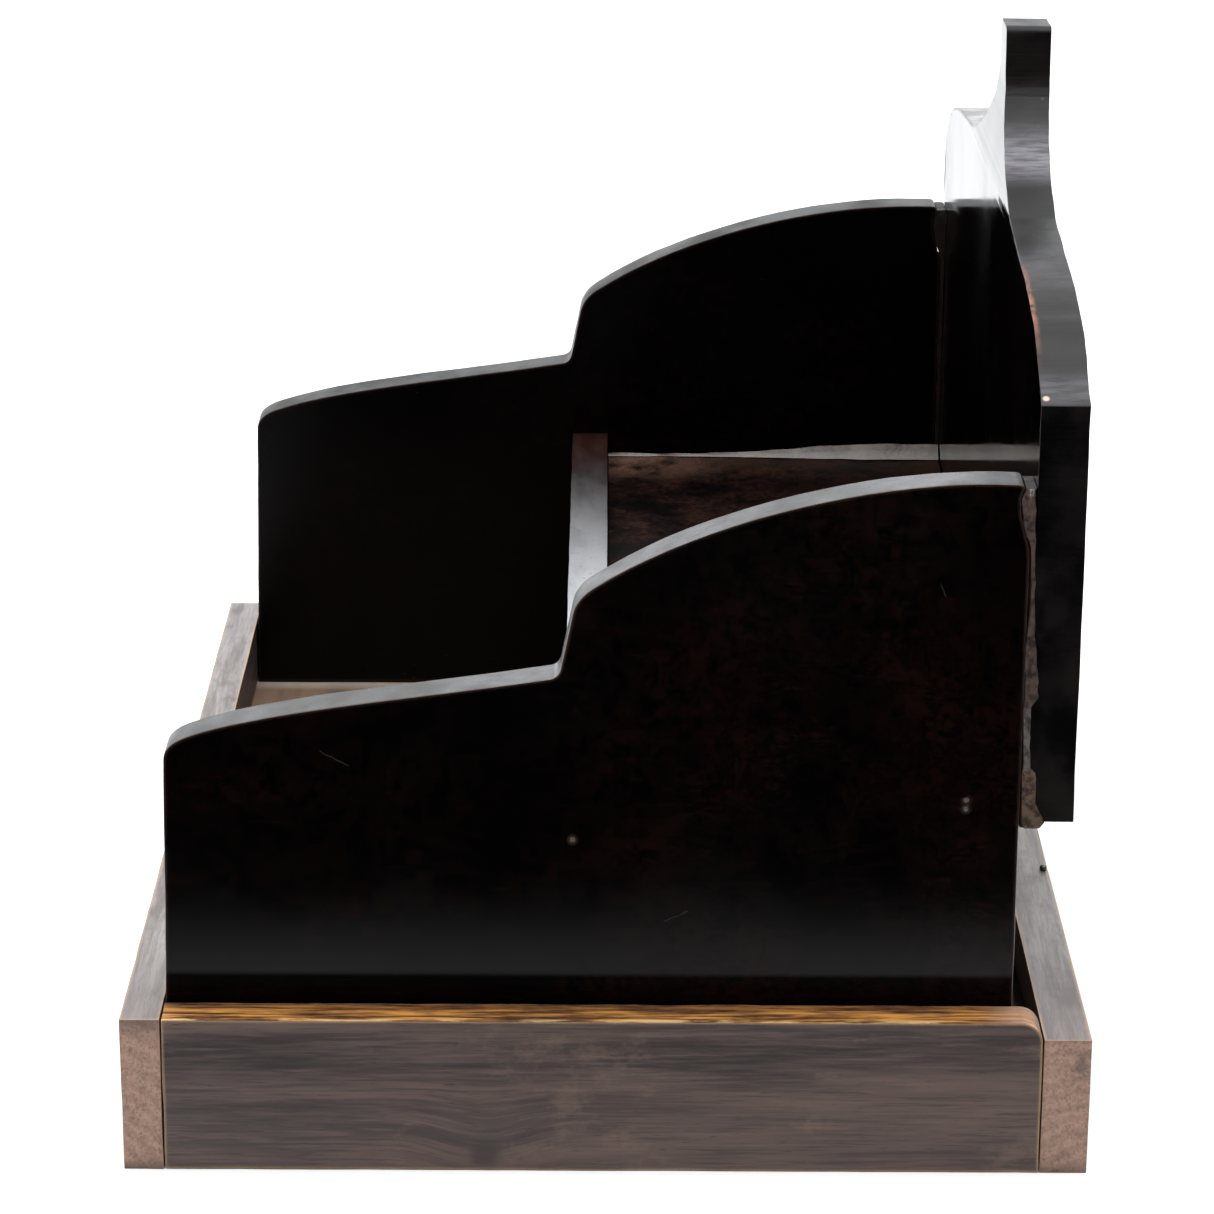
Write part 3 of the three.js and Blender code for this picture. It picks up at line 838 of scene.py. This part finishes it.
def merged_copy(node_name, warp=None):
    """A bmesh of a CAD node, its corners merged, any warp taken out and its flat faces whole."""
    mesh = bmesh.new()
    mesh.from_mesh(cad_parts[node_name].data)
    bmesh.ops.remove_doubles(mesh, verts=mesh.verts, dist=SAME_POINT)
    if warp:
        for vert in mesh.verts:
            vert.co.y -= warp(vert.co.z)
    bmesh.ops.dissolve_limit(mesh, angle_limit=NEARLY_FLAT, verts=mesh.verts, edges=mesh.edges)
    return mesh


def bores():
    """The axis and centre of every brad, so that their holes keep crisp rims."""
    found = []
    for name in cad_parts:
        if "brad" in name and "filler" not in name:
            low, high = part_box(name)
            size = high - low
            axis = max(range(3), key=lambda i: size[i])
            found.append((axis, (low + high) / 2))
    return found


def on_a_bore(edge, holes):
    middle = (edge.verts[0].co + edge.verts[1].co) / 2
    for axis, centre in holes:
        off = middle - centre
        off[axis] = 0
        if off.length < HOLE_REACH:
            return True
    return False


def sharp_edges(mesh, holes):
    return [
        edge for edge in mesh.edges
        if edge.is_manifold and edge.calc_face_angle(0) > SHARP_EDGE and not on_a_bore(edge, holes)
    ]


def ease_edges(mesh, width, step, wobble, seed):
    """Rounds the board's edges by hand: evenly at first, then nudged along their length."""
    holes = bores()
    for edge in sharp_edges(mesh, holes):
        cuts = int(edge.calc_length() / step)
        if cuts:
            bmesh.ops.subdivide_edges(mesh, edges=[edge], cuts=cuts)
    made = bmesh.ops.bevel(
        mesh, geom=sharp_edges(mesh, holes), offset=width, segments=3, affect="EDGES",
        profile=0.5, material=-1, clamp_overlap=True,
    )
    mesh.normal_update()
    long_waves, short_waves, mean_lift = 70, 240, 0.35
    shift = Vector((seed * 3.1, seed * 1.7, seed * 2.3))
    for vert in made["verts"]:
        swell = noise.noise(vert.co * long_waves + shift) * 0.7
        ripple = noise.noise(vert.co * short_waves + shift) * 0.5
        vert.co -= vert.normal * wobble * max(0.0, mean_lift + (swell + ripple))


def paint_faces(mesh, rule):
    """Gives each face the material index that rule(face normal, face centre) returns."""
    mesh.normal_update()
    for face in mesh.faces:
        face.material_index = rule(face.normal, face.calc_center_median())


def smooth_step(share):
    share = min(max(share, 0.0), 1.0)
    return share * share * (3 - 2 * share)


def extend_section(mesh, ring, points):
    """Adds a section, or carries the last one on to new points. Returns the section's vertices."""
    if not ring:
        verts = [mesh.verts.new(p) for p in points]
        mesh.faces.new(verts)
        return verts
    edges = [mesh.edges.get((a, b)) for a, b in zip(ring, ring[1:] + ring[:1])]
    made = bmesh.ops.extrude_edge_only(mesh, edges=edges)
    fresh = [g for g in made["geom"] if isinstance(g, bmesh.types.BMVert)]
    ordered = []
    for old in ring:
        ordered.append(min(fresh, key=lambda v: (v.co - old.co).length_squared))
    for vert, point in zip(ordered, points):
        vert.co = point
    return ordered


def close_section(mesh, ring):
    mesh.faces.new(ring)
    bmesh.ops.recalc_face_normals(mesh, faces=mesh.faces)


# ---------------------------------------------------------------- boards of the rack


class DESKRACK_OT_side_panels(bpy.types.Operator):
    """Finish the two stepped side panels"""

    bl_idname = "deskrack.side_panels"
    bl_label = "Side panels"

    def execute(self, context):
        sizes, _, _ = settings()
        grain = (1, 0.12, 1)
        outer = lacquer_face("lacquer, right panel", grain, 0.1, 1.0, panel_marks)
        left = lacquer_face("lacquer, left panel", grain, 0.1, 0.7)
        inner = lacquer_face("lacquer, inside the rack", grain, 0.2, 0.5, shine=0.12)
        # The right panel's edges get a painted sheen; the left panel's edges get none.
        right_edge = lacquer_edge("lacquer, right panel edges", 0.2, 0.46, painted_sheen=0.22)
        left_edge = lacquer_edge("lacquer, left panel edges", 0.3, 0.3, shine=0.2)
        for side, sign in SIDES.items():
            name = f"{side}_side_panel"
            mesh = merged_copy(name)
            ease_edges(mesh, sizes.arris, sizes.step, sizes.wobble, sign)
            paint_faces(mesh, lambda n, c: (0 if n.x * sign > 0 else 1) if abs(n.x) > 0.9 else 2)
            looks = [outer, inner, right_edge] if sign > 0 else [left, inner, left_edge]
            piece = piece_from(mesh, f"{side}_panel_board", "rack", [name], looks)
            weigh_normals(piece)
        return {"FINISHED"}


class DESKRACK_OT_divider(bpy.types.Operator):
    """Finish the riser between the front bin and the shelf"""

    bl_idname = "deskrack.divider"
    bl_label = "Step divider"

    def execute(self, context):
        sizes, _, _ = settings()
        mesh = merged_copy("step_divider")
        ease_edges(mesh, sizes.arris, sizes.step, sizes.wobble, 3)
        paint_faces(mesh, lambda n, c: 0 if abs(n.y) > 0.9 else 1)
        face = lacquer_face("lacquer, divider", (0.12, 1, 1), 0.14, 0.8, shine=0.18)
        edge = divider_top_finish()
        piece = piece_from(mesh, "divider_board", "rack", ["step_divider"], [face, edge])
        weigh_normals(piece)
        return {"FINISHED"}


class DESKRACK_OT_shelf(bpy.types.Operator):
    """Finish the raised shelf"""

    bl_idname = "deskrack.shelf"
    bl_label = "Rear shelf"

    def execute(self, context):
        sizes, _, _ = settings()
        mesh = merged_copy("rear_shelf")
        ease_edges(mesh, sizes.arris * 0.5, sizes.step, sizes.wobble * 0.5, 4)
        paint_faces(mesh, lambda n, c: 0 if n.z > 0.9 else 1)
        under = lacquer_face("lacquer, under shelf", (0.12, 1, 1), 0.3, 0.9)
        piece = piece_from(
            mesh, "shelf_board", "rack", ["rear_shelf"], [shelf_top_finish(), under]
        )
        weigh_normals(piece)
        return {"FINISHED"}


class DESKRACK_OT_back_board(bpy.types.Operator):
    """Finish the scalloped back board"""

    bl_idname = "deskrack.back_board"
    bl_label = "Back board"

    def execute(self, context):
        sizes, _, _ = settings()
        start, end = 238 * MM, 272 * MM
        hidden_side = -20 * MM
        cut_levels = range(236, 276, 3)

        def warp(z):
            return sizes.warp * smooth_step((z - start) / (end - start))

        mesh = merged_copy("back_board", warp)
        ease_edges(mesh, sizes.arris, sizes.step, sizes.wobble * 1.3, 5)
        paint_faces(mesh, lambda n, c: 0 if abs(n.y) > 0.9 else 1 if c.x > hidden_side else 2)
        for level in cut_levels:
            everything = mesh.verts[:] + mesh.edges[:] + mesh.faces[:]
            bmesh.ops.bisect_plane(
                mesh, geom=everything, plane_co=(0, 0, level * MM), plane_no=(0, 0, 1)
            )
        for vert in mesh.verts:
            vert.co.y += warp(vert.co.z)
        face = lacquer_face("lacquer, back board", (0.12, 1, 1), 0.06, 0.7)
        edge = board_edge_finish()
        # The left half of the edge gets a painted sheen, a painted reflection of the pale surround.
        left_edge = lacquer_edge("lacquer, back board left edge", 0.1, 0.4, painted_sheen=0.3)
        looks = [face, edge, left_edge]
        piece = piece_from(
            mesh, "back_board_scalloped", "rack", ["back_board"], looks
        )
        weigh_normals(piece)
        return {"FINISHED"}


# ---------------------------------------------------------------- glue, filler and brads


def squeezed_out(height):
    """The front and back of the glue ridge at a height in millimetres."""
    for below, above in zip(SQUEEZE, SQUEEZE[1:]):
        if height <= above[0]:
            share = max(0.0, (height - below[0]) / (above[0] - below[0]))
            return [below[i] + (above[i] - below[i]) * share for i in (1, 2)]
    return SQUEEZE[-1][1:]


class DESKRACK_OT_seams(bpy.types.Operator):
    """Fill the wedge gaps between the side panels and the back board"""

    bl_idname = "deskrack.seams"
    bl_label = "Seam glue"

    def execute(self, context):
        sizes, _, _ = settings()
        look = seam_glue_finish()
        for side, sign in SIDES.items():
            name = f"{side}_back_seam_glue"
            low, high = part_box(name)
            outer, inner = (high.x, low.x) if sign > 0 else (low.x, high.x)
            mesh = bmesh.new()
            ring = []
            levels = 66
            for i in range(levels + 1):
                z = low.z + (high.z - low.z) * i / levels
                points = self.section(z, inner, outer, sign, sizes.seam_swell, i in (0, levels))
                ring = extend_section(mesh, ring, points)
            close_section(mesh, ring)
            piece_from(mesh, f"{side}_seam_filling", "rack", [name], [look])
        return {"FINISHED"}

    def section(self, z, inner, outer, sign, swell, at_end):
        """The glue at height z: a strip inside the gap, and the ridge that was squeezed out."""
        front, back = squeezed_out(z / MM)
        shift = Vector((sign * 5.0, 1.0, 2.0))
        lump_waves, ripple_waves = 260, 700
        rough = noise.noise(Vector((0, 0, z * lump_waves)) + shift)
        fine = noise.noise(Vector((3, 0, z * ripple_waves)) + shift)
        front = (front + 0.22 * rough + 0.15 * fine) * MM
        back = (back + 0.35 * rough - 0.3 * fine) * MM
        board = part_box("back_board")[0]
        panel_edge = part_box(f"{'right' if sign > 0 else 'left'}_side_panel")[1].y
        gap, end_swell, below_board = 0.1 * MM, 0.15 * MM, 116.5 * MM
        filled_to = board.y - gap if z > board.z - 0.3 * MM else below_board
        filled_from = min(panel_edge, max(front, panel_edge - 3 * MM)) + gap
        proud = (end_swell if at_end else swell) * (1.0 + 0.5 * rough)
        width = back - front
        inside = outer - sign * 0.9 * MM
        root = outer - sign * 0.5 * MM
        return [
            Vector((inner, filled_from, z)),
            Vector((inner, filled_to, z)),
            Vector((inside, filled_to, z)),
            Vector((root, back, z)),
            Vector((outer + sign * 0.55 * proud, back - 0.12 * width, z)),
            Vector((outer + sign * proud, front + (0.62 + 0.1 * fine) * width, z)),
            Vector((outer + sign * proud, front + (0.35 + 0.1 * fine) * width, z)),
            Vector((outer + sign * 0.5 * proud, front + 0.12 * width, z)),
            Vector((root, front, z)),
            Vector((inside, filled_from, z)),
        ]


class DESKRACK_OT_beads(bpy.types.Operator):
    """Run the glue beads along the shelf"""

    bl_idname = "deskrack.beads"
    bl_label = "Shelf beads"

    def execute(self, context):
        _, paint, _ = settings()
        look = lumpy("shelf bead glue", paint.bead, TINTS["bead shade"], 0.25, 150.0)
        for side, sign in SIDES.items():
            name = f"{side}_shelf_glue_bead"
            low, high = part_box(name)
            corner_x = high.x if sign > 0 else low.x
            mesh = bmesh.new()
            steps = 44
            ring = []
            for i in range(steps + 1):
                share = i / steps
                y = low.y + (high.y - low.y) * share
                heap = 3.6 * smooth_step((share - 0.25) / 0.6)
                rise = 0.9 + heap + 0.7 * noise.noise(Vector((sign, y * 90, 0)))
                spread = rise * 0.75 + 0.7 * noise.noise(Vector((sign * 2, y * 120, 3)))
                section = [
                    (0, 0), (spread, 0), (spread * 0.62, rise * 0.3), (spread * 0.34, rise * 0.6),
                    (0, rise),
                ]
                points = [Vector((corner_x - sign * a * MM, y, low.z + b * MM)) for a, b in section]
                ring = extend_section(mesh, ring, points)
            close_section(mesh, ring)
            piece_from(mesh, f"{side}_shelf_bead", "rack", [name], [look])
        return {"FINISHED"}


class DESKRACK_OT_brads(bpy.types.Operator):
    """Finish the brads and the filler over them"""

    bl_idname = "deskrack.brads"
    bl_label = "Brads and fillers"

    def execute(self, context):
        _, paint, _ = settings()
        putty = lumpy("filler", paint.putty, TINTS["filler shade"], 0.6, 900.0)
        steel = steel_finish()
        rim_width = 0.12 * MM
        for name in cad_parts:
            if "brad" not in name:
                continue
            filler = "filler" in name
            mesh = merged_copy(name)
            rims = [
                edge for edge in mesh.edges
                if edge.is_manifold and edge.calc_face_angle(0) > BRAD_RIM
            ]
            bmesh.ops.bevel(
                mesh, geom=rims, offset=rim_width, segments=2, affect="EDGES", profile=0.5,
                material=-1, clamp_overlap=True,
            )
            body = "tray" if name.startswith(("tray", "back_rail")) else "rack"
            piece_from(mesh, f"{name}_piece", body, [name], [putty if filler else steel])
        return {"FINISHED"}


# ---------------------------------------------------------------- tray


class DESKRACK_OT_rails(bpy.types.Operator):
    """Finish the tray's four rails"""

    bl_idname = "deskrack.rails"
    bl_label = "Tray rails"

    def execute(self, context):
        sizes, _, _ = settings()
        across = {
            "face": walnut("walnut, long rails", (0.06, 1, 1)),
            "top": long_rail_top(),
        }
        deep = {
            "face": walnut("walnut, side rails", (1, 0.06, 1), knot=(176 * MM, -33 * MM, 5 * MM)),
            "top": side_rail_top(),
        }
        front_end = end_grain("end grain, front rail", (0, -160 * MM, -20 * MM))
        back_end = end_grain("end grain, back rail", (0, 140 * MM, -30 * MM))
        kinds = {
            "tray_front_rail": (across, X, front_end),
            "tray_back_rail": (across, X, back_end),
            "tray_left_rail": (deep, Y, back_end),
            "tray_right_rail": (deep, Y, back_end),
        }
        for seed, (name, (look, axis, end)) in enumerate(kinds.items()):
            mesh = merged_copy(name)
            ease_edges(mesh, sizes.rail_arris, sizes.step, sizes.wobble * 1.2, 10 + seed)
            paint_faces(mesh, lambda n, c: 2 if abs(n[axis]) > 0.8 else 1 if n.z > 0.6 else 0)
            looks = [look["face"], look["top"], end]
            piece_name = name.replace("rail", "rail_board")
            piece = piece_from(mesh, piece_name, "tray", [name], looks)
            weigh_normals(piece)
        return {"FINISHED"}


class DESKRACK_OT_floor(bpy.types.Operator):
    """Finish the tray's floor board"""

    bl_idname = "deskrack.tray_floor"
    bl_label = "Tray floor"

    def execute(self, context):
        sizes, _, _ = settings()
        mesh = merged_copy("tray_floor")
        ease_edges(mesh, sizes.rail_arris * 0.5, sizes.step * 2, sizes.wobble * 0.5, 20)
        piece = piece_from(
            mesh, "tray_floor_board", "tray", ["tray_floor"], [floor_finish()]
        )
        weigh_normals(piece)
        return {"FINISHED"}


# ---------------------------------------------------------------- stage


class DESKRACK_OT_stage(bpy.types.Operator):
    """Set the pale floor, the soft light and the camera"""

    bl_idname = "deskrack.stage"
    bl_label = "Stage"

    def execute(self, context):
        _, _, stage = settings()
        scene = context.scene
        self.add_floor(scene, stage)
        self.add_flag(scene, stage)
        self.add_light(scene, stage)
        self.add_camera(scene, stage)
        scene.view_settings.view_transform = "Standard"
        return {"FINISHED"}

    def add_plane(self, scene, name, half_x, half_y, place, material):
        mesh = bmesh.new()
        bmesh.ops.create_grid(mesh, x_segments=1, y_segments=1, size=1.0)
        bmesh.ops.scale(mesh, vec=(half_x, half_y, 1), verts=mesh.verts)
        bmesh.ops.translate(mesh, vec=place, verts=mesh.verts)
        data = bpy.data.meshes.new(name)
        mesh.to_mesh(data)
        mesh.free()
        data.materials.append(material)
        plane = bpy.data.objects.new(name, data)
        scene.collection.objects.link(plane)
        return plane

    def add_floor(self, scene, stage):
        half = stage.floor / 2
        self.add_plane(scene, "studio_floor", half, half, (0, 0, 0), stage_finish())

    def add_flag(self, scene, stage):
        """A black card on the floor, which only the gloss of the lacquer sees: a painted dark reflection,
        with a grey strip that paints the sheen low on the right panel.
        """
        material, tree, shader, place = new_material("black card", 0.0)
        x, _, _ = axes(tree, place)
        sheen_strip_start, sheen_strip_end, sheen_strip_grey = 275 * MM, 345 * MM, 0.22
        # The grey strip, fading to black away from the rack, is the painted sheen seen in the lower right
        # panel.
        grey = remap(tree, x, sheen_strip_start, sheen_strip_end, sheen_strip_grey, 0.0)
        tone = node(tree, "ShaderNodeCombineColor", {0: grey, 1: grey, 2: grey}).outputs[0]
        link(tree, shader, Base_Color=tone)
        half = 2.0
        card = self.add_plane(
            scene, "black_card", half, half, (stage.flag + half, 0, 1 * MM), material
        )
        card.visible_camera = False
        card.visible_diffuse = False
        card.visible_shadow = False
        card.visible_transmission = False

    def add_light(self, scene, stage):
        world = bpy.data.worlds.new("studio")
        world.use_nodes = True
        scene.world = world
        tree = world.node_tree
        sky = tree.nodes["Background"]
        sky.inputs["Color"].default_value = (0.97, 0.985, 1.0, 1.0)
        toward = node(tree, "ShaderNodeTexCoord").outputs["Generated"]
        x, _, z = axes(tree, toward)
        open_side = remap(tree, x, -0.1, 0.3, 1.0, stage.dim_side)
        overhead = remap(tree, z, 0.6, 0.85)
        lit = maths(tree, "MAXIMUM", open_side, overhead)
        hedge_dark = 0.05
        above_hedge = remap(tree, z, 0.235, 0.285, hedge_dark, 1.0)
        horizon = remap(tree, z, 0.205, 0.222, 1.0, hedge_dark)
        lit = times(tree, lit, maths(tree, "MAXIMUM", above_hedge, horizon))
        seen = node(tree, "ShaderNodeLightPath").outputs["Is Camera Ray"]
        lit = maths(tree, "MAXIMUM", lit, seen)
        tree.links.new(times(tree, lit, stage.sky), sky.inputs["Strength"])
        lamp = bpy.data.lights.new("softbox", "AREA")
        lamp.shape = "RECTANGLE"
        lamp.size = 1.8
        lamp.size_y = 1.8
        lamp.energy = stage.lamp
        holder = bpy.data.objects.new("softbox", lamp)
        holder.location = (0.35, 0.0, 1.7)
        scene.collection.objects.link(holder)

    def add_camera(self, scene, stage):
        """The camera looks at the right side, from a little above."""
        pitch, yaw, roll = 0.329158, -0.00075, 0.0047
        data = bpy.data.cameras.new("camera")
        data.lens = stage.lens
        data.sensor_width = 36.0
        data.clip_end = 60.0
        camera = bpy.data.objects.new("camera", data)
        aim = Euler((math.pi / 2 - pitch, 0, math.pi / 2 + yaw)).to_matrix()
        camera.matrix_world = (
            Matrix.Translation((stage.distance, -0.001, stage.height))
            @ (aim @ Matrix.Rotation(roll, 3, "Z")).to_4x4()
        )
        scene.collection.objects.link(camera)
        scene.camera = camera


# ---------------------------------------------------------------- add-on


class DESKRACK_PT_panel(bpy.types.Panel):
    """Lists the rack's pieces"""

    bl_label = "Desk rack"
    bl_idname = "DESKRACK_PT_panel"
    bl_space_type = "VIEW_3D"
    bl_region_type = "UI"
    bl_category = "Desk rack"

    def draw(self, context):
        scene = context.scene
        for group in (scene.rack_sizes, scene.rack_colours, scene.rack_stage):
            box = self.layout.box()
            for name in group.__annotations__:
                box.prop(group, name)
        for operator in OPERATORS:
            self.layout.operator(operator.bl_idname)


SETTINGS = {"rack_sizes": RackSizes, "rack_colours": RackColours, "rack_stage": StageSettings}
OPERATORS = (
    DESKRACK_OT_stage,
    DESKRACK_OT_side_panels,
    DESKRACK_OT_divider,
    DESKRACK_OT_shelf,
    DESKRACK_OT_back_board,
    DESKRACK_OT_seams,
    DESKRACK_OT_beads,
    DESKRACK_OT_brads,
    DESKRACK_OT_rails,
    DESKRACK_OT_floor,
)
CLASSES = (*SETTINGS.values(), *OPERATORS, DESKRACK_PT_panel)


def register():
    for cls in CLASSES:
        bpy.utils.register_class(cls)
    for name, group in SETTINGS.items():
        setattr(bpy.types.Scene, name, bpy.props.PointerProperty(type=group))


def unregister():
    for name in SETTINGS:
        delattr(bpy.types.Scene, name)
    for cls in reversed(CLASSES):
        bpy.utils.unregister_class(cls)


def main():
    register()
    make_groups()
    bpy.ops.deskrack.stage()
    bpy.ops.deskrack.side_panels()
    bpy.ops.deskrack.divider()
    bpy.ops.deskrack.shelf()
    bpy.ops.deskrack.back_board()
    bpy.ops.deskrack.seams()
    bpy.ops.deskrack.beads()
    bpy.ops.deskrack.brads()
    bpy.ops.deskrack.rails()
    bpy.ops.deskrack.tray_floor()


if __name__ == "__main__":
    main()
